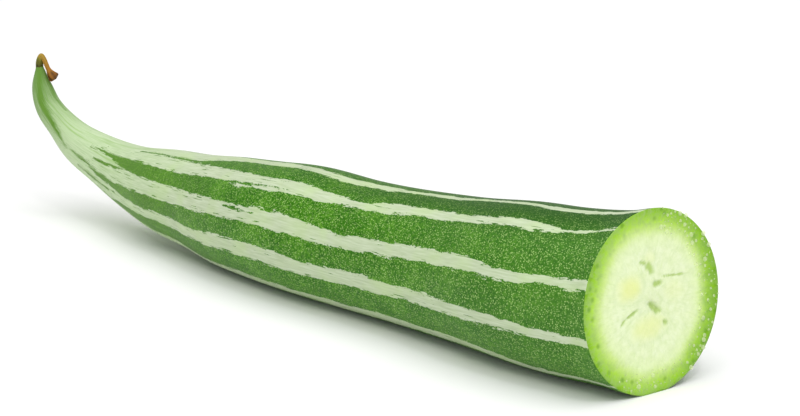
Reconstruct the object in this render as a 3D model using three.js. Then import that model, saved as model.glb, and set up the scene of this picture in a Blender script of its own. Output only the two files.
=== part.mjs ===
// Snake gourd (Trichosanthes cucumerina): the narrow end of a fruit that has been sliced across.
// It lies on its side. The thick body rests along its underside, the narrow neck curls up off the
// surface, and the withered flower still hangs from its tip.
// Millimetres, +Z up. +X runs from the tip towards the cut face, and the origin is the middle of
// the footprint on the surface that the gourd lies on.
import * as THREE from "three";
import { mergeVertices } from "three/addons/utils/BufferGeometryUtils.js";

// ---------------------------------------------------------------- driving dimensions
const CUT_RADIUS = 28; // radius of the round cut face
const CUT_TILT = THREE.MathUtils.degToRad(4.2); // how far the cut face leans back from upright
const CUT_FADE = 40; // length over which the rings turn from the cut plane to square sections
const FLAT_DEPTH = 0.45; // how far the underside is pressed flat where the fruit's weight rests
const NODE_GAP = 0.3; // clearance between two pieces that touch
const TIP_RADIUS = 1.5; // radius of the gourd where the flower grows from it

const GOURD_SIDES = 40; // facets around the fruit
const GOURD_RINGS = 45; // rings from the cut to the tip
const FLOWER_SIDES = 10;
const FLOWER_RINGS = 20;

// The body, from the cut backwards: how far back, how far to the side, and the radius there. It
// rests all along, so its middle is one radius high. The radii swell and shrink again, because
// the fruit grew with soft waists.
const BODY = [
  [0, 0.8, CUT_RADIUS],
  [10, -0.8, 26.9],
  [26, -4.4, 26.2],
  [46, -6.0, 25.6],
  [72, -5.4, 23.9],
  [98, -6.3, 22.9],
  [124, -7.8, 22.5],
  [150, -9.5, 22.8],
  [174, -9.6, 21.8],
  [198, -8.2, 20.6],
];

// The neck, which curls up: how far back, how far to the side, how high its middle is, and the
// radius there.
const NECK = [
  [220, -7.5, 20.4, 18.1],
  [242, -7.1, 20.5, 16.5],
  [266, -6.4, 21.4, 13.0],
  [289, -5.8, 24.3, 10.1],
  [309, -5.8, 28.3, 8.2],
  [322, -6.3, 34.3, 6.3],
  [331, -7.1, 40.5, 5.4],
  [335.0, -7.7, 48.3, 4.2],
  [336.0, -8.0, 56.6, TIP_RADIUS],
];

// The dried flower, from its base on the tip to the shrivelled knob of petals. It folds over at
// the top and hangs beside the neck, in the upright plane that HANG_HEADING gives. Each row is
// how far out and how far up from the gourd's tip, and the radius.
const HANG_HEADING = THREE.MathUtils.degToRad(35);
const FLOWER = [
  [0, NODE_GAP, TIP_RADIUS],
  [0.05, 1.9, 1.45],
  [0.3, 3.5, 1.2],
  [1.0, 4.4, 1.0],
  [2.0, 3.2, 0.95],
  [3.0, 0.9, 0.95],
  [3.9, -1.0, 1.0],
  [4.9, -2.6, 1.7],
  [6.1, -3.9, 2.2],
  [7.0, -4.7, 1.8],
];

// ---------------------------------------------------------------- shapes

// A smooth curve through the stations' centres, and another through their radii.
function curvesThrough(stations) {
  const through = (points) => {
    return new THREE.CatmullRomCurve3(points, false, "catmullrom", 0.5);
  };
  return {
    centres: through(stations.map((s) => s.centre)),
    radii: through(stations.map((s) => new THREE.Vector3(s.radius, 0, 0))),
  };
}

// A closed solid of round section that follows the stations. It starts as a straight lathe with
// flat ends, whose rings are then carried to their places on the curve. across sets their roll,
// and endCut, where it is given, turns the first rings into the plane of a cut.
function bentLathe(stations, sides, rings, across, endCut) {
  const { centres, radii } = curvesThrough(stations);
  const profile = [new THREE.Vector2(0, 0)];
  for (let ring = 0; ring <= rings; ring += 1) {
    const t = ring / rings;
    profile.push(new THREE.Vector2(radii.getPoint(t).x, t));
  }
  profile.push(new THREE.Vector2(0, 1));

  const geometry = new THREE.LatheGeometry(profile, sides);
  const position = geometry.getAttribute("position");
  for (let i = 0; i < position.count; i += 1) {
    const t = position.getY(i);
    const centre = centres.getPoint(t);
    const along = centres.getTangent(t);
    const side = across.clone().projectOnPlane(along).normalize();
    const top = new THREE.Vector3().crossVectors(side, along);
    const offset = side.multiplyScalar(position.getX(i));
    offset.addScaledVector(top, position.getZ(i));
    if (endCut) {
      offset.addScaledVector(along, endCut(centre, along, offset));
    }
    centre.add(offset);
    position.setXYZ(i, centre.x, centre.y, centre.z);
  }
  return closed(geometry);
}

// How far a point of a ring slides along the fruit to lie in the cut's plane: all the way at the
// cut face, and less and less over the next CUT_FADE millimetres.
function slideToCut(centre, along, offset) {
  const facing = new THREE.Vector3(Math.cos(CUT_TILT), 0, Math.sin(CUT_TILT));
  const share = 1 - THREE.MathUtils.smoothstep(-centre.x, 0, CUT_FADE);
  return (-share * offset.dot(facing)) / along.dot(facing);
}

// Only the positions, with shared vertices merged, so that the mesh is one closed surface.
function closed(geometry) {
  geometry.deleteAttribute("normal");
  geometry.deleteAttribute("uv");
  const merged = mergeVertices(geometry, 1e-3);
  merged.computeVertexNormals();
  return merged;
}

// Presses the underside flat, as a ripe fruit settles where it lies.
function settleOnSurface(geometry) {
  const position = geometry.getAttribute("position");
  for (let i = 0; i < position.count; i += 1) {
    position.setZ(i, Math.max(0, position.getZ(i) - FLAT_DEPTH));
  }
  geometry.computeVertexNormals();
  return geometry;
}

// ---------------------------------------------------------------- materials

const rind = new THREE.MeshStandardMaterial({
  color: 0x4a8528,
  roughness: 0.45,
  metalness: 0,
});
const driedPetal = new THREE.MeshStandardMaterial({
  color: 0x7a4a16,
  roughness: 0.85,
  metalness: 0,
});

// ---------------------------------------------------------------- pieces

const tip = new THREE.Vector3();

// The fruit itself: rind, flesh and cut face are one grown piece.
function makeGourd() {
  const resting = BODY.map(([back, side, radius]) => [back, side, radius, radius]);
  const stations = [...resting, ...NECK].map(([back, side, height, radius]) => {
    return { centre: new THREE.Vector3(-back, side, height), radius };
  });
  tip.copy(stations[stations.length - 1].centre).z -= FLAT_DEPTH;

  const across = new THREE.Vector3(0, 1, 0);
  const shape = bentLathe(stations, GOURD_SIDES, GOURD_RINGS, across, slideToCut);
  const mesh = new THREE.Mesh(settleOnSurface(shape), rind);
  mesh.name = "gourd";
  return mesh;
}

// The withered flower, which stands on the fruit's tip and folds over.
function makeWitheredFlower() {
  const out = new THREE.Vector3(Math.cos(HANG_HEADING), Math.sin(HANG_HEADING), 0);
  const up = new THREE.Vector3(0, 0, 1);
  const stations = FLOWER.map(([outward, upward, radius]) => {
    const centre = tip.clone().addScaledVector(out, outward).addScaledVector(up, upward);
    return { centre, radius };
  });
  const across = new THREE.Vector3().crossVectors(up, out);
  const shape = bentLathe(stations, FLOWER_SIDES, FLOWER_RINGS, across);
  const mesh = new THREE.Mesh(shape, driedPetal);
  mesh.name = "withered_flower";
  return mesh;
}

const snakeGourd = new THREE.Group();
snakeGourd.add(makeGourd(), makeWitheredFlower());

// The middle of the footprint becomes the origin.
const box = new THREE.Box3().setFromObject(snakeGourd);
const middle = box.getCenter(new THREE.Vector3());
for (const piece of snakeGourd.children) {
  piece.position.set(-middle.x, -middle.y, -box.min.z);
}

export default snakeGourd;
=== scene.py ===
"""Snake gourd: the narrow end of a striped fruit, sliced across, with its withered flower.

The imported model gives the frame. This script replaces its two plain solids with fine ones that
carry the skin's stripes, the wet cut face and the dried flower, and adds drops of sap.
"""
import math

import bmesh
import bpy
import numpy as np
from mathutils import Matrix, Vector


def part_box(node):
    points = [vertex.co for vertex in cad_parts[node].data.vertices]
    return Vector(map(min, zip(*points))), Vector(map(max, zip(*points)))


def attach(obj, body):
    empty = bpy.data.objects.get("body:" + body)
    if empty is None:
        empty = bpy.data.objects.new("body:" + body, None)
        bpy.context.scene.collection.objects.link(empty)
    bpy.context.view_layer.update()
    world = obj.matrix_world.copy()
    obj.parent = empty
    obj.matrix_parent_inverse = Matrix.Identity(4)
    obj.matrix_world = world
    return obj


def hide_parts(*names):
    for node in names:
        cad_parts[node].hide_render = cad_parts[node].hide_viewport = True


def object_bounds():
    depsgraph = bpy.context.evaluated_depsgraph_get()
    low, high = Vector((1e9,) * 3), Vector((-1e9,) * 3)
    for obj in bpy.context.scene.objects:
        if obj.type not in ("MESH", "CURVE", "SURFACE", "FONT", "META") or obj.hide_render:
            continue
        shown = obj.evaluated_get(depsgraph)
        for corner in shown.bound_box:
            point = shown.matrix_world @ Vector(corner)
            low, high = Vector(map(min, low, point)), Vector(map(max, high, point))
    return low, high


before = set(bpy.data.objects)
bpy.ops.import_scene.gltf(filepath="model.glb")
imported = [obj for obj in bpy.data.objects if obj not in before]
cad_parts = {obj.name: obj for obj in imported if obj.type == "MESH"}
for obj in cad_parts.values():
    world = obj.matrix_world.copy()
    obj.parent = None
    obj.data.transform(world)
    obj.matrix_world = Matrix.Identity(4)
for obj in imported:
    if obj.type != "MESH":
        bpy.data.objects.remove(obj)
cad_low, cad_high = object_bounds()

MM = 0.001

# ---------------------------------------------------------------- the fruit's sizes, in millimetres

CUT_RADIUS = 28.0
CUT_TILT = math.radians(4.2)  # how far the cut face leans back from upright
CUT_FADE = 40.0  # length over which the rings turn from the cut plane to square sections
FLAT_DEPTH = 0.45  # how far the underside is pressed flat
TIP_RADIUS = 1.5
BEDDED = 0.5  # how deep the dried flower sits in the tip

# From the cut backwards: how far back, how far to the side, how high the middle is, the radius.
STATIONS = np.array([
    [0, 0.8, 28.0, CUT_RADIUS],
    [10, -0.8, 26.9, 26.9],
    [26, -4.4, 26.2, 26.2],
    [46, -6.0, 25.6, 25.6],
    [72, -5.4, 23.9, 23.9],
    [98, -6.3, 22.9, 22.9],
    [124, -7.8, 22.5, 22.5],
    [150, -9.5, 22.8, 22.8],
    [174, -9.6, 21.8, 21.8],
    [198, -8.2, 20.6, 20.6],
    [220, -7.5, 20.4, 18.1],
    [242, -7.1, 20.5, 16.5],
    [266, -6.4, 21.4, 13.0],
    [289, -5.8, 24.3, 10.1],
    [309, -5.8, 28.3, 8.2],
    [322, -6.3, 34.3, 6.3],
    [331, -7.1, 40.5, 5.4],
    [335.0, -7.7, 48.3, 4.2],
    [336.0, -8.0, 56.6, TIP_RADIUS],
]) * [-1, 1, 1, 1]

# The dried flower: how far out and how far up from the tip, and the radius.
HANG_HEADING = math.radians(35)
FLOWER = np.array([
    [0, -BEDDED, TIP_RADIUS],
    [0.05, 1.9, 1.45],
    [0.3, 3.5, 1.2],
    [1.0, 4.4, 1.0],
    [2.0, 3.2, 0.95],
    [3.0, 0.9, 0.95],
    [3.9, -1.0, 1.0],
    [4.9, -2.6, 1.7],
    [6.1, -3.9, 2.2],
    [7.0, -4.7, 1.8],
])

AROUND = 384  # points round the skin; a multiple of 4, so that a square grid can fill the cut
ALONG = 196  # rings from the cut to the tip

# ---------------------------------------------------------------- the skin's markings

# Pale stripes run the whole length. Each row is how far from the cut, the angle round from the
# top (negative towards -Y) and the half width.
STRIPES = [
    [(0, -6, 1.8), (26, -6, 1.5), (55, -4, 1.1), (95, -6, 1.4), (130, -8, 2.1),
     (160, -5, 1.9), (195, -4, 3.0), (216, -4, 4.6), (275, -6, 5.0)],
    [(0, -31, 0.3), (19, -32, 0.4), (25, -31, 1.2), (38, -30, 1.9), (58, -33, 1.3), (95, -33, 2.4),
     (115, -37, 1.1), (140, -36, 2.7), (160, -38, 2.6), (175, -37, 3.3), (188, -34, 2.5),
     (210, -33, 2.9), (240, -31, 3.2), (275, -28, 3.0)],
    [(0, -71, 1.4), (18, -68, 1.6), (38, -71, 1.8), (48, -68, 2.2), (85, -68, 2.5),
     (114, -72, 2.2), (139, -70, 3.1), (174, -70, 2.8), (234, -71, 3.0), (275, -70, 3.2)],
    [(0, -106, 1.1), (17, -105, 1.6), (34, -104, 2.0), (69, -103, 2.1), (106, -102, 2.4),
     (131, -104, 2.6), (153, -103, 3.1), (195, -103, 2.4), (234, -104, 1.9), (275, -105, 2.6)],
    [(0, -144, 0.6), (31, -146, 2.0), (57, -139, 2.4), (120, -143, 3.0), (180, -142, 2.6),
     (234, -140, 2.2), (275, -140, 2.6)],
    [(0, 178, 1.2), (60, 181, 2.2), (130, 177, 2.0), (190, 180, 2.8), (275, 182, 2.8)],
    [(0, 144, 1.6), (40, 141, 1.2), (90, 145, 2.6), (150, 142, 2.2), (275, 144, 2.9)],
    [(0, 106, 0.8), (30, 108, 1.9), (100, 103, 2.5), (170, 107, 3.4), (275, 106, 2.8)],
    [(0, 68, 1.7), (50, 71, 2.3), (95, 67, 1.4), (140, 70, 2.8), (210, 66, 3.0), (275, 70, 3.1)],
    [(0, 30, 0.6), (35, 31, 1.6), (80, 34, 2.5), (125, 30, 1.7), (185, 33, 2.9), (275, 30, 2.9)],
]
MERGE_START = 262  # past here the stripes widen until they join, and the neck is pale
MERGE_RATE = 0.19

# Thin green lines that the joined stripes leave on the neck, in the same terms.
STREAKS = [
    [(225, -91, 2.4), (245, -91, 2.0), (260, -90, 1.6), (278, -89, 0.9), (289, -85, 0.6), (308, -77, 0)],
    [(238, -51, 2.7), (252, -48, 2.5), (266, -47, 1.6), (272, -46, 0.8), (283, -42, 0.5), (294, -48, 0)],
    [(255, -124, 1.8), (268, -126, 0.7), (285, -122, 0)],
    [(205, -21, 1.5), (218, -21, 1.0), (230, -20, 0.6), (248, -19, 0.4), (260, -18, 0)],
    [(148, -41, 0), (165, -41, 0.35), (180, -42, 0.5), (192, -45, 0)],
    [(158, -68, 0), (168, -67, 0.25), (178, -66, 0)],
    [(282, -32, 0), (287, -42, 0.5), (293, -50, 0)],
    [(262, -60, 0), (276, -62, 0.5), (288, -64, 0)],
    [(268, -104, 0), (282, -106, 0.6), (300, -108, 0)],
    [(255, 52, 1.8), (280, 50, 0.8), (300, 53, 0)],
    [(255, 88, 1.8), (275, 90, 0.9), (292, 87, 0)],
    [(255, 125, 1.9), (290, 123, 0.7), (310, 124, 0)],
    [(308, -82, 0), (322, -71, 1.2), (338, -55, 1.6), (354, -35, 1.2)],
    [(318, 120, 0), (335, 112, 1.0), (354, 100, 0.8)],
    [(326, 10, 0), (340, 20, 0.7), (354, 30, 0.6)],
]

# What shows on the cut face, in millimetres from its middle: right (+Y) and up.
SEEDS = [  # right, up, half length, half width, turn in degrees, how ripe and yellow
    (-9.2, 5.4, 5.8, 4.4, 8, 0.8),
    (-2.0, -7.4, 8.4, 4.4, 4, 0.55),
    (9.4, 2.2, 5.8, 3.8, -6, 0.2),
    (-0.6, 13.4, 2.4, 2.6, 0, 0.25),
]
HOLLOWS = [  # right, up, half length, half width, turn in degrees, depth
    (2.3, 5.3, 2.5, 1.1, 4, 1.6),
    (0.8, -1.8, 2.9, 1.5, -38, 2.2),
    (2.4, -2.9, 1.6, 0.7, -20, 1.2),
    (-0.4, 10.2, 1.6, 2.4, 40, 0.9),
    (-3.4, 12.2, 1.9, 0.8, -20, 0.6),
    (5.2, -6.9, 1.5, 0.8, -35, 1.1),
    (-8.4, -2.4, 3.3, 0.6, 20, 1.2),
    (-12.2, -4.5, 1.9, 0.5, 42, 0.9),
    (9.6, 6.6, 6.2, 0.4, -4, 0.6),
]

HOLLOW_DEPTH = 0.3  # the share of those depths that is still open

# ---------------------------------------------------------------- curves and meshes


def catmull_rom(points, t):
    """A smooth curve through the points and its direction, at each t from 0 to 1."""
    spans = len(points) - 1
    place = np.clip(t, 0, 1) * spans
    first = np.minimum(place.astype(int), spans - 1)
    w = (place - first)[:, None]
    ends = [2 * points[0] - points[1]], [2 * points[-1] - points[-2]]
    padded = np.concatenate([ends[0], points, ends[1]])
    p0, p1, p2, p3 = (padded[first + i] for i in range(4))
    leave, arrive = (p2 - p0) / 2, (p3 - p1) / 2
    square = -3 * p1 + 3 * p2 - 2 * leave - arrive
    cube = 2 * p1 - 2 * p2 + leave + arrive
    return p1 + leave * w + square * w**2 + cube * w**3, leave + 2 * square * w + 3 * cube * w**2


def unit(rows):
    return rows / np.linalg.norm(rows, axis=-1, keepdims=True)


def ring_axes(along, across):
    """Two directions square to the curve, at each of its points."""
    side = unit(across - along * (along @ across)[:, None])
    return side, np.cross(side, along)


def ease(x, low, high):
    """0 below low, 1 above high, and a smooth step between."""
    t = np.clip((x - low) / (high - low), 0, 1)
    return t * t * (3 - 2 * t)


def waves(x, y, seed, count=7):
    """Gentle uneven relief between -1 and 1: a few sine waves in seeded directions."""
    draw = np.random.default_rng(seed)
    total = 0
    for _ in range(count):
        turn, phase, pace = draw.uniform(0, 2 * np.pi, 2).tolist() + [draw.uniform(0.6, 1.6)]
        total = total + np.sin(pace * (x * np.cos(turn) + y * np.sin(turn)) + phase)
    return total / count


def tube_faces(rings, around):
    """Quads between rings of points, as index rows."""
    i, j = np.meshgrid(np.arange(rings - 1), np.arange(around), indexing="ij")
    a = i * around + j
    b = i * around + (j + 1) % around
    return np.stack([a, b, b + around, a + around], -1).reshape(-1, 4)


def grid_faces(index):
    """Quads between the rows and columns of a grid of point numbers."""
    return np.stack([index[:-1, :-1], index[1:, :-1], index[1:, 1:], index[:-1, 1:]], -1).reshape(-1, 4)


def make_piece(name, points, faces, materials, attributes=None, slots=None):
    """A closed mesh object at the origin. points are in millimetres in the row's frame."""
    mesh = bpy.data.meshes.new(name)
    mesh.from_pydata((points * MM).tolist(), [], faces)
    for key, values in (attributes or {}).items():
        kind = "FLOAT" if values.ndim == 1 else "FLOAT_VECTOR"
        layer = mesh.attributes.new(key, kind, "POINT")
        layer.data.foreach_set("value" if values.ndim == 1 else "vector", values.ravel())
    for material in materials:
        mesh.materials.append(material)
    if slots is not None:
        mesh.polygons.foreach_set("material_index", slots)
    shell = bmesh.new()
    shell.from_mesh(mesh)
    bmesh.ops.recalc_face_normals(shell, faces=shell.faces)
    shell.to_mesh(mesh)
    shell.free()
    mesh.polygons.foreach_set("use_smooth", [True] * len(mesh.polygons))
    piece = bpy.data.objects.new(name, mesh)
    bpy.context.scene.collection.objects.link(piece)
    return piece


# ---------------------------------------------------------------- nodes and colours

MIX_A, MIX_B, MIX_OUT = 6, 7, 2  # a Mix node's colour sockets


def colour(code):
    """An sRGB hex value as linear red, green, blue and alpha."""
    parts = [int(code[i:i + 2], 16) / 255 for i in (1, 3, 5)]
    linear = [c / 12.92 if c <= 0.04045 else ((c + 0.055) / 1.055) ** 2.4 for c in parts]
    return (*linear, 1.0)


def add_node(tree, kind, inputs=None, stops=None, **settings):
    """Adds a node. inputs maps a socket's name or index to a value or to the socket it reads."""
    node = tree.nodes.new(kind)
    for name, value in settings.items():
        setattr(node, name, value)
    for key, value in (inputs or {}).items():
        if isinstance(value, bpy.types.NodeSocket):
            tree.links.new(value, node.inputs[key])
        else:
            node.inputs[key].default_value = value
    if stops:
        ramp = node.color_ramp
        while len(ramp.elements) < len(stops):
            ramp.elements.new(1)
        for element, (position, code) in zip(ramp.elements, stops):
            element.position, element.color = position, colour(code)
    return node


def new_material(name):
    """A material with an empty tree, its Principled shader and its node tree."""
    material = bpy.data.materials.new(name)
    material.use_nodes = True
    tree = material.node_tree
    tree.nodes.clear()
    shader = add_node(tree, "ShaderNodeBsdfPrincipled")
    add_node(tree, "ShaderNodeOutputMaterial", {"Surface": shader.outputs[0]})
    return material, tree, shader


# ---------------------------------------------------------------- materials


def waxy_rind():
    """Gourd skin: a thin waxy cuticle over dark green, with ragged pale stripes, which gives the
    eye a broad satin highlight and a peppering of pale pores about 0.4 mm wide."""
    material, tree, shader = new_material("waxy_gourd_rind")
    spot = add_node(tree, "ShaderNodeTexCoord").outputs["Object"]
    stripe = add_node(tree, "ShaderNodeAttribute", attribute_name="stripe").outputs["Fac"]
    along = add_node(tree, "ShaderNodeAttribute", attribute_name="along").outputs["Fac"]
    grain = add_node(tree, "ShaderNodeAttribute", attribute_name="grain").outputs["Vector"]

    # The stripes' edges: long steps of about 15 mm, tears of 4 mm and nicks of 1 mm.
    edge = stripe
    for (length, width), reach in (((15, 2.6), 3.0), ((4, 0.9), 2.3), ((1.0, 0.4), 1.5)):
        stretch = (1 / length, 1 / width, 1 / width)
        stretched = add_node(tree, "ShaderNodeVectorMath", {0: grain, 1: stretch}, operation="MULTIPLY")
        tear = add_node(tree, "ShaderNodeTexNoise", {"Vector": stretched.outputs[0], "Scale": 1.0,
                                                     "Detail": 2.0, "Roughness": 0.6})
        shift = add_node(tree, "ShaderNodeMath", {0: tear.outputs[0], 1: -0.5}, operation="ADD")
        edge = add_node(tree, "ShaderNodeMath", {0: shift.outputs[0], 1: reach, 2: edge},
                        operation="MULTIPLY_ADD").outputs[0]

    # Green slivers 9 mm long and 0.6 mm wide show through the pale stripes, most of them far back.
    sliver_space = add_node(tree, "ShaderNodeVectorMath", {0: grain, 1: (1 / 9, 1 / 0.6, 1 / 0.6)},
                            operation="MULTIPLY")
    sliver = add_node(tree, "ShaderNodeTexNoise", {"Vector": sliver_space.outputs[0], "Scale": 1.0,
                                                   "Detail": 1.0})
    far_back = add_node(tree, "ShaderNodeMapRange", {"Value": along, "From Min": 60.0, "From Max": 260.0,
                                                     "To Min": 0.7, "To Max": 0.65})
    over = add_node(tree, "ShaderNodeMath", {0: sliver.outputs[0], 1: far_back.outputs[0]},
                    operation="SUBTRACT")
    bite = add_node(tree, "ShaderNodeMapRange", {"Value": over.outputs[0], "From Max": 0.05, "To Max": 2.4})
    torn = add_node(tree, "ShaderNodeMath", {0: edge, 1: bite.outputs[0]}, operation="SUBTRACT")

    # On the neck the edges blur, from 0.2 mm wide to 1.6 mm.
    blur = add_node(tree, "ShaderNodeMapRange", {"Value": along, "From Min": 280.0, "From Max": 318.0,
                                                 "To Min": 0.1, "To Max": 0.8})
    sharp = add_node(tree, "ShaderNodeMath", {0: torn.outputs[0], 1: blur.outputs[0]}, operation="DIVIDE")
    pale = add_node(tree, "ShaderNodeMapRange", {"Value": sharp.outputs[0], "From Min": -1.0,
                                                 "From Max": 1.0})

    # Dark green, clouded over 12 mm and mottled over 1 mm, greyer towards the cut: partly wax bloom, partly
    # painted sheen.
    cloud = add_node(tree, "ShaderNodeTexNoise", {"Vector": spot, "Scale": 0.08 / MM, "Detail": 3.0})
    mottle = add_node(tree, "ShaderNodeTexNoise", {"Vector": spot, "Scale": 0.9 / MM, "Detail": 4.0,
                                                   "Roughness": 0.65})
    both = add_node(tree, "ShaderNodeMath", {0: cloud.outputs[0], 1: 0.45, 2: mottle.outputs[0]},
                    operation="MULTIPLY_ADD")
    green = add_node(tree, "ShaderNodeValToRGB", {0: both.outputs[0]},
                     stops=[(0.52, "#225a04"), (0.72, "#37740a"), (0.95, "#629b2a")])
    bloom_and_sheen = add_node(tree, "ShaderNodeMapRange", {"Value": along, "From Min": 5.0, "From Max": 130.0,
                                                "To Min": 0.5, "To Max": 0.0})
    bloom_and_sheen_mixed = add_node(tree, "ShaderNodeMix", {0: bloom_and_sheen.outputs[0], MIX_A: green.outputs[0],
                                             MIX_B: colour("#45742f")}, data_type="RGBA")

    # Pores: one in each cell of 0.56 mm that the surface meets, 1.8 cells to a millimetre.
    cells = add_node(tree, "ShaderNodeTexVoronoi", {"Vector": spot, "Scale": 1.8 / MM, "Randomness": 1.0})
    pore = add_node(tree, "ShaderNodeMapRange", {"Value": cells.outputs["Distance"], "From Min": 0.25,
                                                 "From Max": 0.46, "To Min": 1.0, "To Max": 0.0})
    some = add_node(tree, "ShaderNodeSeparateColor", {0: cells.outputs["Color"]})
    bright = add_node(tree, "ShaderNodeMapRange", {"Value": some.outputs[0], "From Min": 0.15,
                                                   "From Max": 0.9, "To Min": 0.2, "To Max": 1.0})
    fewer = add_node(tree, "ShaderNodeMapRange", {"Value": along, "From Min": 150.0, "From Max": 310.0,
                                                  "To Min": 1.0, "To Max": 0.35})
    lit_pore = add_node(tree, "ShaderNodeMath", {0: pore.outputs[0], 1: bright.outputs[0]},
                        operation="MULTIPLY")
    far_pore = add_node(tree, "ShaderNodeMath", {0: lit_pore.outputs[0], 1: fewer.outputs[0]},
                        operation="MULTIPLY")

    # Painted shade: the top near the cut is painted a deeper green, and its pores are dimmed with it.
    height_on_skin = add_node(tree, "ShaderNodeSeparateXYZ", {0: grain})
    crest = add_node(tree, "ShaderNodeMapRange", {"Value": height_on_skin.outputs[2], "From Min": 18.0,
                                                  "From Max": 24.0})
    near_cut = add_node(tree, "ShaderNodeMapRange", {"Value": along, "From Min": 60.0, "From Max": 190.0,
                                                     "To Min": 0.85, "To Max": 0.15})
    painted_top_shade = add_node(tree, "ShaderNodeMath", {0: crest.outputs[0], 1: near_cut.outputs[0]},
                      operation="MULTIPLY")
    top_shaded = add_node(tree, "ShaderNodeMix", {0: painted_top_shade.outputs[0], MIX_A: bloom_and_sheen_mixed.outputs[MIX_OUT],
                                               MIX_B: colour("#1a4d00")}, data_type="RGBA")
    pores_dimmed_by_shade = add_node(tree, "ShaderNodeMapRange", {"Value": painted_top_shade.outputs[0], "To Min": 1.0,
                                                    "To Max": 0.35})
    pore_share = add_node(tree, "ShaderNodeMath", {0: far_pore.outputs[0], 1: pores_dimmed_by_shade.outputs[0]},
                          operation="MULTIPLY")
    speckled = add_node(tree, "ShaderNodeMix", {0: pore_share.outputs[0], MIX_A: top_shaded.outputs[MIX_OUT],
                                                MIX_B: colour("#a3c673")}, data_type="RGBA")

    # The stripes: pale fibres 0.6 mm wide and 7 mm long. Towards the tip they turn mid green.
    fibre_space = add_node(tree, "ShaderNodeVectorMath", {0: grain, 1: (1 / 7, 1 / 0.6, 1 / 0.6)},
                           operation="MULTIPLY")
    fibre = add_node(tree, "ShaderNodeTexNoise", {"Vector": fibre_space.outputs[0], "Scale": 1.0,
                                                  "Detail": 3.0})
    cream = add_node(tree, "ShaderNodeValToRGB", {0: fibre.outputs[0]},
                     stops=[(0.25, "#aebf98"), (0.5, "#beccaa"), (0.75, "#ccd8bc")])
    greener = add_node(tree, "ShaderNodeMapRange", {"Value": cloud.outputs[0], "From Min": 0.45,
                                                    "From Max": 0.65, "To Min": 0.0, "To Max": 0.45})
    clouded = add_node(tree, "ShaderNodeMix", {0: greener.outputs[0], MIX_A: cream.outputs[0],
                                               MIX_B: colour("#bcd596")}, data_type="RGBA")
    neck_cream = add_node(tree, "ShaderNodeValToRGB", {0: fibre.outputs[0]},
                          stops=[(0.25, "#aac492"), (0.5, "#bed4a6"), (0.75, "#d2e2be")])
    neck = add_node(tree, "ShaderNodeMapRange", {"Value": along, "From Min": 200.0, "From Max": 290.0})
    smear_space = add_node(tree, "ShaderNodeVectorMath", {0: grain, 1: (1 / 35, 1 / 3.5, 1 / 3.5)},
                           operation="MULTIPLY")
    smear = add_node(tree, "ShaderNodeTexNoise", {"Vector": smear_space.outputs[0], "Scale": 1.0,
                                                  "Detail": 3.0})
    smeared = add_node(tree, "ShaderNodeMapRange", {"Value": smear.outputs[0], "From Min": 0.5,
                                                    "From Max": 0.72, "To Min": 0.0, "To Max": 0.75})
    neck_green = add_node(tree, "ShaderNodeMix", {0: smeared.outputs[0], MIX_A: neck_cream.outputs[0],
                                                  MIX_B: colour("#8fb862")}, data_type="RGBA")
    paleness = add_node(tree, "ShaderNodeMix", {0: neck.outputs[0], MIX_A: clouded.outputs[MIX_OUT],
                                                MIX_B: neck_green.outputs[MIX_OUT]}, data_type="RGBA")
    ragged = add_node(tree, "ShaderNodeMath", {0: fibre.outputs[0], 1: 70.0, 2: along},
                      operation="MULTIPLY_ADD")
    tip = add_node(tree, "ShaderNodeMapRange", {"Value": ragged.outputs[0], "From Min": 340.0,
                                                "From Max": 396.0}, interpolation_type="SMOOTHSTEP")
    tipped = add_node(tree, "ShaderNodeMix", {0: tip.outputs[0], MIX_A: paleness.outputs[MIX_OUT],
                                              MIX_B: colour("#688f42")}, data_type="RGBA")
    young = add_node(tree, "ShaderNodeMapRange", {"Value": along, "From Min": 170.0, "From Max": 330.0,
                                                  "To Min": 0.0, "To Max": 0.9})
    younger = add_node(tree, "ShaderNodeMix", {0: young.outputs[0], MIX_A: speckled.outputs[MIX_OUT],
                                               MIX_B: colour("#68903a")}, data_type="RGBA")
    skin = add_node(tree, "ShaderNodeMix", {0: pale.outputs[0], MIX_A: younger.outputs[MIX_OUT],
                                            MIX_B: tipped.outputs[MIX_OUT]}, data_type="RGBA")

    # Relief: pores stand up a little, and the skin is finely pebbled.
    height = add_node(tree, "ShaderNodeMath", {0: mottle.outputs[0], 1: 0.8, 2: pore_share.outputs[0]},
                      operation="MULTIPLY_ADD")
    bump = add_node(tree, "ShaderNodeBump", {"Height": height.outputs[0], "Strength": 0.35,
                                             "Distance": 0.12 * MM})
    gloss = add_node(tree, "ShaderNodeMapRange", {"Value": mottle.outputs[0], "From Min": 0.3,
                                                  "From Max": 0.7, "To Min": 0.36, "To Max": 0.5})
    tree.links.new(skin.outputs[MIX_OUT], shader.inputs["Base Color"])
    tree.links.new(gloss.outputs[0], shader.inputs["Roughness"])
    tree.links.new(bump.outputs[0], shader.inputs["Normal"])
    shader.inputs["IOR"].default_value = 1.42
    shader.inputs["Specular IOR Level"].default_value = 0.14
    return material


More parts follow.
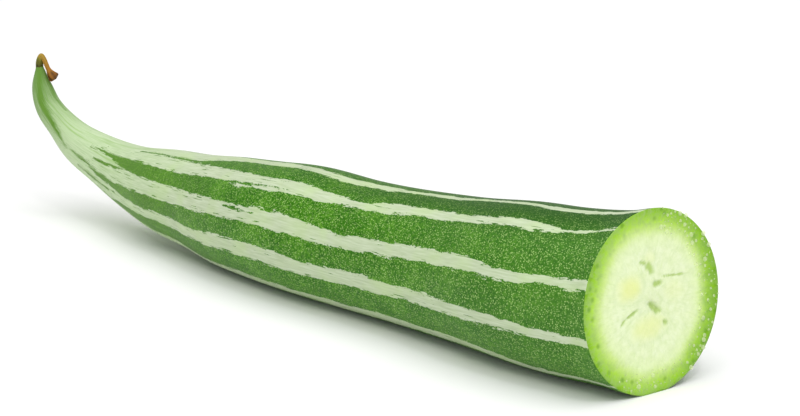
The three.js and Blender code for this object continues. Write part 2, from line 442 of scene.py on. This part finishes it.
def wet_flesh():
    """Freshly cut gourd flesh: watery pulp under a bright green rim, which gives the eye a soft
    glow, fine fibres that run outwards, and a moist shine."""
    material, tree, shader = new_material("wet_gourd_flesh")
    place = add_node(tree, "ShaderNodeAttribute", attribute_name="face_place").outputs["Vector"]
    seed = add_node(tree, "ShaderNodeAttribute", attribute_name="seed").outputs["Fac"]
    hollow = add_node(tree, "ShaderNodeAttribute", attribute_name="hollow").outputs["Fac"]
    radius = add_node(tree, "ShaderNodeVectorMath", {0: place}, operation="LENGTH").outputs["Value"]
    outwards = add_node(tree, "ShaderNodeVectorMath", {0: place}, operation="NORMALIZE").outputs[0]

    # Fibres fan outwards: the noise turns quickly round the face and slowly along a radius.
    turn = add_node(tree, "ShaderNodeVectorMath", {0: outwards, 1: (15, 15, 15)}, operation="MULTIPLY")
    slow = add_node(tree, "ShaderNodeVectorMath", {0: place, 1: (0.35, 0.35, 0.35)}, operation="MULTIPLY")
    fan = add_node(tree, "ShaderNodeVectorMath", {0: turn.outputs[0], 1: slow.outputs[0]}, operation="ADD")
    fibre = add_node(tree, "ShaderNodeTexNoise", {"Vector": fan.outputs[0], "Scale": 1.0, "Detail": 4.0,
                                                  "Roughness": 0.6})

    # The rim is lobed, and the pulp is grainy over 2.5 mm.
    lobes = add_node(tree, "ShaderNodeTexNoise", {"Vector": outwards, "Scale": 1.7, "Detail": 1.0})
    grainy = add_node(tree, "ShaderNodeTexNoise", {"Vector": place, "Scale": 1 / 2.5, "Detail": 6.0,
                                                   "Roughness": 0.65})

    # The rim's green reaches further in where the lobes and the fibres push it.
    frayed = add_node(tree, "ShaderNodeMath", {0: fibre.outputs[0], 1: 2.6, 2: radius},
                      operation="MULTIPLY_ADD")
    reach = add_node(tree, "ShaderNodeMath", {0: lobes.outputs[0], 1: 4.0, 2: frayed.outputs[0]},
                     operation="MULTIPLY_ADD")
    centred = add_node(tree, "ShaderNodeMath", {0: reach.outputs[0], 1: -3.3}, operation="ADD")
    share = add_node(tree, "ShaderNodeMath", {0: centred.outputs[0], 1: CUT_RADIUS},
                     operation="DIVIDE")
    ring = add_node(tree, "ShaderNodeValToRGB", {0: share.outputs[0]},
                    stops=[(0.55, "#e8f3cb"), (0.69, "#e2f1bc"), (0.77, "#cee78e"), (0.86, "#aed94a"),
                           (0.94, "#94c828"), (1.0, "#7bae18")])
    pulp = add_node(tree, "ShaderNodeMapRange", {"Value": grainy.outputs[0], "From Min": 0.42,
                                                 "From Max": 0.7, "To Min": 0.0, "To Max": 0.55})
    clouded = add_node(tree, "ShaderNodeMix", {0: pulp.outputs[0], MIX_A: ring.outputs[0],
                                               MIX_B: colour("#cde0a2")}, data_type="RGBA")
    strand = add_node(tree, "ShaderNodeMapRange", {"Value": fibre.outputs[0], "From Min": 0.5,
                                                   "From Max": 0.75, "To Min": 0.0, "To Max": 0.35})
    stranded = add_node(tree, "ShaderNodeMix", {0: strand.outputs[0], MIX_A: clouded.outputs[MIX_OUT],
                                                MIX_B: colour("#cadf98")}, data_type="RGBA")
    seeded = add_node(tree, "ShaderNodeMix", {0: seed, MIX_A: stranded.outputs[MIX_OUT],
                                              MIX_B: colour("#e6ee9c")}, data_type="RGBA")
    # Painted shade: the hollows are mixed to a darker green, and the same green draws the faint lines round
    # the seeds.
    hollow_shade_and_seed_outline = add_node(tree, "ShaderNodeMix", {0: hollow, MIX_A: seeded.outputs[MIX_OUT],
                                                MIX_B: colour("#aecb6e")}, data_type="RGBA")

    # The rim is blotchy, and painted shade makes it a deeper green towards the right.
    parts = add_node(tree, "ShaderNodeSeparateXYZ", {0: place})
    right_side_shade = add_node(tree, "ShaderNodeMapRange", {"Value": parts.outputs[0], "From Max": 26.0,
                                                   "To Max": 0.35})
    near_rim = add_node(tree, "ShaderNodeMapRange", {"Value": reach.outputs[0], "From Min": 24.0,
                                                     "From Max": 28.0})
    blotch_and_right_shade = add_node(tree, "ShaderNodeMath", {0: pulp.outputs[0], 1: right_side_shade.outputs[0]},
                       operation="ADD")
    rim_blotch_and_shade = add_node(tree, "ShaderNodeMath", {0: blotch_and_right_shade.outputs[0], 1: near_rim.outputs[0]},
                      operation="MULTIPLY")
    rimmed = add_node(tree, "ShaderNodeMix", {0: rim_blotch_and_shade.outputs[0], MIX_A: hollow_shade_and_seed_outline.outputs[MIX_OUT],
                                              MIX_B: colour("#6ea414")}, data_type="RGBA")

    # Veins: dark green dots about 2 mm wide, one in each cell of 3.3 mm, in a circle just inside
    # the skin.
    cells = add_node(tree, "ShaderNodeTexVoronoi", {"Vector": place, "Scale": 0.3, "Randomness": 0.8})
    dot = add_node(tree, "ShaderNodeMapRange", {"Value": cells.outputs["Distance"], "From Min": 0.1,
                                                "From Max": 0.34, "To Min": 0.6, "To Max": 0.0})
    vein_circle = add_node(tree, "ShaderNodeMapRange", {"Value": radius, "From Min": 22.5,
                                                        "From Max": 24.5})
    vein = add_node(tree, "ShaderNodeMath", {0: dot.outputs[0], 1: vein_circle.outputs[0]},
                    operation="MULTIPLY")
    veined = add_node(tree, "ShaderNodeMix", {0: vein.outputs[0], MIX_A: rimmed.outputs[MIX_OUT],
                                              MIX_B: colour("#5f9418")}, data_type="RGBA")

    height = add_node(tree, "ShaderNodeMath", {0: fibre.outputs[0], 1: grainy.outputs[0]},
                      operation="ADD")
    bump = add_node(tree, "ShaderNodeBump", {"Height": height.outputs[0], "Strength": 0.6,
                                             "Distance": 0.3 * MM})
    tree.links.new(veined.outputs[MIX_OUT], shader.inputs["Base Color"])
    tree.links.new(bump.outputs[0], shader.inputs["Normal"])
    shader.inputs["Roughness"].default_value = 0.34
    shader.inputs["IOR"].default_value = 1.36
    shader.inputs["Specular IOR Level"].default_value = 0.25
    shader.inputs["Subsurface Weight"].default_value = 0.25
    shader.inputs["Subsurface Radius"].default_value = (1.0, 1.0, 0.5)
    shader.inputs["Subsurface Scale"].default_value = 1.5 * MM
    return material


def dried_petal():
    """A withered corolla: papery plant tissue gone brown, which gives the eye dull lengthwise wrinkles,
    olive where it still joins the fruit, with painted shade, nearly black, in the folds."""
    material, tree, shader = new_material("dried_petal")
    spot = add_node(tree, "ShaderNodeTexCoord").outputs["Object"]
    age = add_node(tree, "ShaderNodeAttribute", attribute_name="age").outputs["Fac"]
    fold = add_node(tree, "ShaderNodeAttribute", attribute_name="fold").outputs["Fac"]
    # Blotches about 1.4 mm wide.
    blotch = add_node(tree, "ShaderNodeTexNoise", {"Vector": spot, "Scale": 0.7 / MM, "Detail": 4.0})
    patchy = add_node(tree, "ShaderNodeMath", {0: blotch.outputs[0], 1: 0.3, 2: age},
                      operation="MULTIPLY_ADD")
    brown = add_node(tree, "ShaderNodeValToRGB", {0: patchy.outputs[0]},
                     stops=[(0.15, "#3f4112"), (0.32, "#777628"), (0.45, "#a98d36"), (0.75, "#a8792a"),
                            (1.0, "#96601c")])
    # Painted shade: the folds are mixed towards near black.
    fold_shaded = add_node(tree, "ShaderNodeMix", {0: fold, MIX_A: brown.outputs[0],
                                              MIX_B: colour("#2e1a08")}, data_type="RGBA")
    bump = add_node(tree, "ShaderNodeBump", {"Height": blotch.outputs[0], "Strength": 0.6,
                                             "Distance": 0.1 * MM})
    tree.links.new(fold_shaded.outputs[MIX_OUT], shader.inputs["Base Color"])
    tree.links.new(bump.outputs[0], shader.inputs["Normal"])
    shader.inputs["Roughness"].default_value = 0.7
    shader.inputs["Specular IOR Level"].default_value = 0.25
    return material


def clear_sap():
    """Gourd sap: thin and watery, drawn as half-clear beads with the flesh showing through; their pale
    whitish colour is painted highlight.
    """
    material, _, shader = new_material("clear_sap")
    # Painted highlight: the pale base colour stands in for the glints of clear sap.
    shader.inputs["Base Color"].default_value = colour("#f0fcc8")
    shader.inputs["Roughness"].default_value = 0.03
    shader.inputs["IOR"].default_value = 1.34
    shader.inputs["Alpha"].default_value = 0.42
    return material


def pale_table():
    """A smooth white board, which gives the eye only a soft shadow."""
    material, tree, shader = new_material("white_table")
    spot = add_node(tree, "ShaderNodeTexCoord").outputs["Object"]
    cloud = add_node(tree, "ShaderNodeTexNoise", {"Vector": spot, "Scale": 3.0})  # 0.33 m wide
    white = add_node(tree, "ShaderNodeValToRGB", {0: cloud.outputs[0]},
                     stops=[(0.0, "#f5f5f5"), (1.0, "#fafafa")])
    tree.links.new(white.outputs[0], shader.inputs["Base Color"])
    shader.inputs["Roughness"].default_value = 0.8
    return material


# ---------------------------------------------------------------- the fruit


def marked(lines, length, angle, radius, bounded):
    """How deep each point lies inside the nearest of some lengthwise lines, in millimetres. A
    bounded line stops at its ends, and any other runs on."""
    best = np.full(angle.shape, -1e3)
    for line in lines:
        at, turn, half = np.array(line, float).T
        centre = np.radians(np.interp(length, at, turn))
        width = np.interp(length, at, half)
        away = np.abs((angle - centre + np.pi) % (2 * np.pi) - np.pi) * radius
        reached = (length >= at[0]) & (length <= at[-1]) | (not bounded)
        best = np.where(reached, np.maximum(best, width - away), best)
    return best


def oval(right, up, x, y, long, wide, turn):
    """How far out points lie in an oval turned by some degrees: 0 in its middle, 1 on its edge."""
    c, s = math.cos(math.radians(turn)), math.sin(math.radians(turn))
    u, v = (right - x) * c + (up - y) * s, (up - y) * c - (right - x) * s
    return np.hypot(u / long, v / wide)


def face_marks(right, up):
    """The seeds' and hollows' shares at points of the cut face, and the depth of the hollows."""
    seed, hollow, depth = 0 * right, 0 * right, 0 * right
    for *outline, ripe in SEEDS:
        out = oval(right, up, *outline)
        inside = 1 - ease(out + 0.15 * waves(right, up, 5), 0.25, 1.2)
        seed = np.maximum(seed, inside * ripe)
        husk = np.exp(-((out - 1.12) / 0.1) ** 2)
        hollow = np.maximum(hollow, husk * 0.25 * (0.5 + 0.5 * waves(right, up, 13)))
    for *outline, deep in HOLLOWS:
        out = oval(right, up, *outline)
        inside = 1 - ease(out + 0.4 * waves(right * 2, up * 2, 9), 0.45, 1.15)
        hollow = np.maximum(hollow, inside)
        depth = np.maximum(depth, inside * deep * HOLLOW_DEPTH)
    return seed, hollow, depth


def grid_over_cut(rim, middle):
    """A square grid whose outline is bent to the rim: its points, how far out each one lies (1 on
    the rim), and the number of the rim point that it is on or just past."""
    g = np.linspace(-1, 1, AROUND // 4 + 1)
    gx, gy = np.meshgrid(g, g, indexing="ij")
    wide = np.abs(gx) >= np.abs(gy)
    with np.errstate(divide="ignore", invalid="ignore"):
        turn = np.where(wide, np.pi / 4 * gy / gx, np.pi / 2 - np.pi / 4 * gx / gy)
    way = np.where(wide, gx, gy)
    turn = np.where(np.isfinite(turn), turn, 0) + np.where(way < 0, np.pi, 0)
    step = (turn + np.pi / 4) / (2 * np.pi / AROUND) % AROUND
    low = np.floor(step + 1e-6).astype(int) % AROUND
    part = (step - np.floor(step + 1e-6))[..., None]
    edge = rim[low] * (1 - part) + rim[(low + 1) % AROUND] * part
    far = np.abs(way)
    return middle + far[..., None] * (edge - middle), far, low


def for_each_point(on_skin, on_face):
    """A value for each point of the fruit: the skin's, the tip's and the cut face's."""
    return np.concatenate([on_skin.reshape(on_skin.shape[0] * on_skin.shape[1], -1),
                           on_skin[-1, :1].reshape(1, -1), on_face.reshape(len(on_face), -1)])


def make_gourd():
    """The fruit as one closed skin: rings from the cut to the tip, and a grid across the cut."""
    t = np.linspace(0, 1, ALONG + 1)
    centres, along = catmull_rom(STATIONS[:, :3], t)
    radii = catmull_rom(STATIONS[:, 3:], t)[0][:, 0]
    along = unit(along)
    side, top = ring_axes(along, np.array([0.0, 1.0, 0.0]))
    length = np.r_[0, np.cumsum(np.linalg.norm(np.diff(centres, axis=0), axis=1))]

    # Angles run from +Y through the top. They start at a corner of the grid that fills the cut.
    spin = -np.pi / 4 + np.arange(AROUND) * 2 * np.pi / AROUND
    s, a = np.meshgrid(length, spin, indexing="ij")
    dents = 0.16 * (1 - waves(s / 9, 5 * np.sin(a), 3)) * ease(s, 2, 20) * np.clip(radii / 20, 0, 1)[:, None]
    reach = radii[:, None] - dents
    offset = reach[..., None] * (np.cos(a)[..., None] * side[:, None] + np.sin(a)[..., None] * top[:, None])
    facing = np.array([math.cos(CUT_TILT), 0, math.sin(CUT_TILT)])
    share = 1 - ease(-centres[:, 0], 0, CUT_FADE)
    slide = -share[:, None] * (offset @ facing) / (along @ facing)[:, None]
    skin = centres[:, None] + offset + slide[..., None] * along[:, None]
    skin[..., 2] = np.maximum(0, skin[..., 2] - FLAT_DEPTH)

    from_top = np.pi / 2 - a
    half = marked(STRIPES, s, from_top, radii[:, None], False) + np.maximum(0, s - MERGE_START) * MERGE_RATE
    carve = marked(STREAKS, s, from_top, radii[:, None], True)
    stripe = np.minimum(half, np.where(carve > -1.5, -carve, 9))
    grain = np.stack([s, 25 * np.cos(a), 25 * np.sin(a)], -1)

    middle = centres[0] - [0, 0, FLAT_DEPTH]
    flat, far, low = grid_over_cut(skin[0], middle)
    right, up = (flat - middle)[..., 1], (flat - middle)[..., 2]
    seed, hollow, depth = face_marks(right, up)
    swell = 0.4 * seed * (1 - hollow) + 0.25 * waves(right / 2.5, up / 2.5, 11) * ease(far, 1.0, 0.8)
    face = flat - ((depth + 0.3 * ease(1 - far, 0, 0.12)) - 0.6 * swell)[..., None] * facing

    index = np.zeros(far.shape, int)
    border = far > 1 - 1e-9
    index[border] = low[border]
    count = (ALONG + 1) * AROUND
    index[~border] = count + 1 + np.arange((~border).sum())
    quads = grid_faces(index)

    tip = skin[-1].mean(axis=0) + along[-1] * 0.1
    points = np.concatenate([skin.reshape(-1, 3), [tip], face[~border]])
    ring = np.arange(AROUND)
    cap = np.stack([ALONG * AROUND + ring, ALONG * AROUND + (ring + 1) % AROUND, 0 * ring + count], -1)
    faces = tube_faces(ALONG + 1, AROUND).tolist() + cap.tolist() + quads.tolist()
    slots = np.r_[np.zeros(ALONG * AROUND + AROUND, int), np.ones(len(quads), int)]

    inner = (~border).sum()
    rim_place = np.stack([(skin[0] - middle)[:, 1], (skin[0] - middle)[:, 2], 0 * skin[0, :, 0]], -1)
    skin_place = np.broadcast_to(rim_place, skin.shape)
    face_place = np.stack([right, up, 0 * up], -1)[~border]
    attributes = {
        "stripe": for_each_point(stripe, np.zeros(inner))[:, 0],
        "along": for_each_point(s, np.zeros(inner))[:, 0],
        "grain": for_each_point(grain, np.zeros((inner, 3))),
        "face_place": for_each_point(np.array(skin_place), face_place),
        "seed": for_each_point(0 * s, seed[~border])[:, 0],
        "hollow": for_each_point(0 * s, hollow[~border] * 0.9)[:, 0],
    }
    box_low, box_high = (np.array(corner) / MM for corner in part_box("gourd"))
    shift = (box_low + box_high - points.min(axis=0) - points.max(axis=0)) / 2 * [1, 1, 0]
    piece = make_piece("gourd_fruit", points + shift, faces, [waxy_rind(), wet_flesh()], attributes, slots)
    return piece, tip + shift, face + shift


def make_flower(tip):
    """The withered flower: a ribbed tube that folds over, ending in a crumpled knob."""
    out = np.array([math.cos(HANG_HEADING), math.sin(HANG_HEADING), 0])
    up = np.array([0.0, 0.0, 1.0])
    rings, around = 150, 72
    t = np.linspace(0, 1, rings + 1)
    path = tip + FLOWER[:, :1] * out + FLOWER[:, 1:2] * up
    centres, along = catmull_rom(path, t)
    radii = catmull_rom(FLOWER[:, 2:], t)[0][:, 0]
    side, top = ring_axes(unit(along), np.cross(up, out))
    spin = np.arange(around) * 2 * np.pi / around
    tt, a = np.meshgrid(t, spin, indexing="ij")
    knob = ease(tt, 0.68, 0.85)
    ribs = 0.5 + 0.5 * np.sin(5 * a + 5 * tt + 0.8 * np.sin(9 * tt))
    crumple = 0.5 + 0.5 * waves(3 * np.cos(a) + 12 * tt, 3 * np.sin(a) + 9 * tt, 21)
    fold = (1 - ribs) * (0.1 + 0.08 * knob) + (1 - crumple) * (0.06 + 0.3 * knob)
    closing = np.sqrt(1 - 0.9 * ease(tt, 0.94, 1.0))
    reach = (1.08 + 0.15 * knob) * radii[:, None] * (1 - fold) * closing
    points = centres[:, None] + reach[..., None] * (
        np.cos(a)[..., None] * side[:, None] + np.sin(a)[..., None] * top[:, None])
    count = (rings + 1) * around
    ring = np.arange(around)
    first = np.stack([ring, (ring + 1) % around, 0 * ring + count], -1)
    last = np.stack([rings * around + ring, rings * around + (ring + 1) % around, 0 * ring + count + 1], -1)
    faces = tube_faces(rings + 1, around).tolist() + first.tolist() + last.tolist()
    points = np.concatenate([points.reshape(-1, 3), centres[:1], centres[-1:]])
    attributes = {
        "age": np.r_[tt.ravel(), 0, 1],
        "fold": np.r_[np.clip(fold * 3.0 - 0.25, 0, 0.85).ravel(), 0, 1],
    }
    return make_piece("withered_flower_fine", points, faces, [dried_petal()], attributes)


# ---------------------------------------------------------------- sap

DROP_GAP = 1.2  # the least distance between two drops
SMALLEST_DROP, LARGEST_DROP = 0.18, 0.85  # their radii


def drop_tree(material):
    """A tree that scatters flattened drops over a bed mesh."""
    tree = bpy.data.node_groups.new("sap_scatter", "GeometryNodeTree")
    tree.interface.new_socket("Bed", in_out="INPUT", socket_type="NodeSocketGeometry")
    for name in ("Density", "Smallest", "Largest"):
        tree.interface.new_socket(name, in_out="INPUT", socket_type="NodeSocketFloat")
    tree.interface.new_socket("Drops", in_out="OUTPUT", socket_type="NodeSocketGeometry")
    given = add_node(tree, "NodeGroupInput")
    points = add_node(tree, "GeometryNodeDistributePointsOnFaces",
                      {"Mesh": given.outputs["Bed"], "Distance Min": DROP_GAP * MM,
                       "Density Max": given.outputs["Density"], "Seed": 4},
                      distribute_method="POISSON")
    draw = add_node(tree, "FunctionNodeRandomValue", {2: 0.0, 3: 1.0, "Seed": 8})
    mostly_small = add_node(tree, "ShaderNodeMath", {0: draw.outputs[1], 1: 2.5}, operation="POWER")
    size = add_node(tree, "ShaderNodeMapRange", {"Value": mostly_small.outputs[0],
                                                 "To Min": given.outputs["Smallest"],
                                                 "To Max": given.outputs["Largest"]})
    bead = add_node(tree, "GeometryNodeMeshIcoSphere", {"Radius": 1.0, "Subdivisions": 3})
    flat = add_node(tree, "GeometryNodeTransform", {"Geometry": bead.outputs["Mesh"],
                                                    "Scale": (1.0, 1.0, 0.6)})
    placed = add_node(tree, "GeometryNodeInstanceOnPoints",
                      {"Points": points.outputs["Points"], "Instance": flat.outputs["Geometry"],
                       "Rotation": points.outputs["Rotation"], "Scale": size.outputs[0]})
    real = add_node(tree, "GeometryNodeRealizeInstances", {"Geometry": placed.outputs[0]})
    smooth = add_node(tree, "GeometryNodeSetShadeSmooth", {"Geometry": real.outputs[0]})
    coated = add_node(tree, "GeometryNodeSetMaterial", {"Geometry": smooth.outputs[0], "Material": material})
    add_node(tree, "NodeGroupOutput", {"Drops": coated.outputs[0]})
    return tree


def make_drops(face):
    """Beads of sap, which well up from the green rim, all down its right side."""
    cells = AROUND // 4
    middle = face[cells // 2, cells // 2]
    right, up = (face - middle)[..., 1], (face - middle)[..., 2]
    radius, turn = np.hypot(right, up), np.degrees(np.arctan2(up, right))
    wet = (radius > 20.5) & (turn > -125) & (turn < 80) & (up > -26.4)
    quads = grid_faces(np.arange(radius.size).reshape(radius.shape))
    bed = [quad for quad in quads.tolist() if all(wet.ravel()[corner] for corner in quad)]
    mesh = bpy.data.meshes.new("sap_bed")
    mesh.from_pydata((face.reshape(-1, 3) * MM).tolist(), [], bed)
    holder = bpy.data.objects.new("sap_bed", mesh)
    bpy.context.scene.collection.objects.link(holder)
    material = clear_sap()
    scatter = holder.modifiers.new("scatter", "NODES")
    scatter.node_group = drop_tree(material)
    sizes = {"Density": 420000.0, "Smallest": SMALLEST_DROP * MM,
             "Largest": LARGEST_DROP * MM}
    for socket in scatter.node_group.interface.items_tree:
        if socket.name in sizes:
            scatter[socket.identifier] = sizes[socket.name]
    evaluated = holder.evaluated_get(bpy.context.evaluated_depsgraph_get())
    drops = bpy.data.objects.new("sap_drops", bpy.data.meshes.new_from_object(evaluated))
    bpy.context.scene.collection.objects.link(drops)
    bpy.data.objects.remove(holder)
    return drops


# ---------------------------------------------------------------- stage, lights and camera


def make_stage():
    """The table under the fruit, wide enough to have no edge in view."""
    bpy.ops.mesh.primitive_plane_add(size=60)
    floor = bpy.context.object
    floor.name = "table"
    floor.data.materials.append(pale_table())


def direction(azimuth, elevation):
    """The way towards a place round the fruit. Azimuth 0 is in front, at -Y, and 90 is at +X."""
    a, e = math.radians(azimuth), math.radians(elevation)
    return Vector((math.sin(a) * math.cos(e), -math.cos(a) * math.cos(e), math.sin(e)))


def add_light(name, kind, energy, way, distance=1.0, **settings):
    """A lamp that faces the middle of the fruit."""
    lamp = bpy.data.objects.new(name, bpy.data.lights.new(name, kind))
    lamp.data.energy = energy
    for key, value in settings.items():
        setattr(lamp.data, key, value)
    lamp.location = (cad_low + cad_high) / 2 + way * distance
    lamp.rotation_euler = way.to_track_quat("Z", "Y").to_euler()
    bpy.context.scene.collection.objects.link(lamp)


def make_lights():
    """A white studio: a wide diffuser overhead, a soft box in front and a small hard lamp."""
    world = bpy.data.worlds.new("studio")
    world.use_nodes = True
    background = world.node_tree.nodes["Background"]
    background.inputs["Color"].default_value = colour("#ffffff")
    background.inputs["Strength"].default_value = 0.46
    bpy.context.scene.world = world
    add_light("overhead_diffuser", "SUN", 2.05, direction(60, 80), angle=math.radians(80))
    add_light("front_softbox", "AREA", 1.2, direction(40, 32), distance=1.0, size=0.8)
    add_light("small_lamp", "AREA", 0.55, direction(75, 50), distance=0.8, size=0.05)
    bpy.context.scene.view_settings.view_transform = "Standard"


def make_camera():
    """A long lens, low over the table, that looks along the fruit from beyond its cut."""
    back, distance = direction(50.5, 13), 0.7813
    middle = (cad_low + cad_high) / 2
    target = Vector((middle.x + 0.0173, middle.y + 0.0302, 0.0250))
    camera = bpy.data.objects.new("camera", bpy.data.cameras.new("camera"))
    camera.data.lens, camera.data.sensor_width = 99, 36
    camera.location = target + back * distance
    camera.rotation_euler = back.to_track_quat("Z", "Y").to_euler()
    bpy.context.scene.collection.objects.link(camera)
    bpy.context.scene.camera = camera


make_camera()
make_lights()
make_stage()
gourd, tip_place, cut_face = make_gourd()
flower = make_flower(tip_place)
drops = make_drops(cut_face)

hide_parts("gourd")
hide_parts("withered_flower")
for piece, slot in ((gourd, "rind"), (flower, "dried_flower"), (drops, "sap")):
    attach(piece, "root")
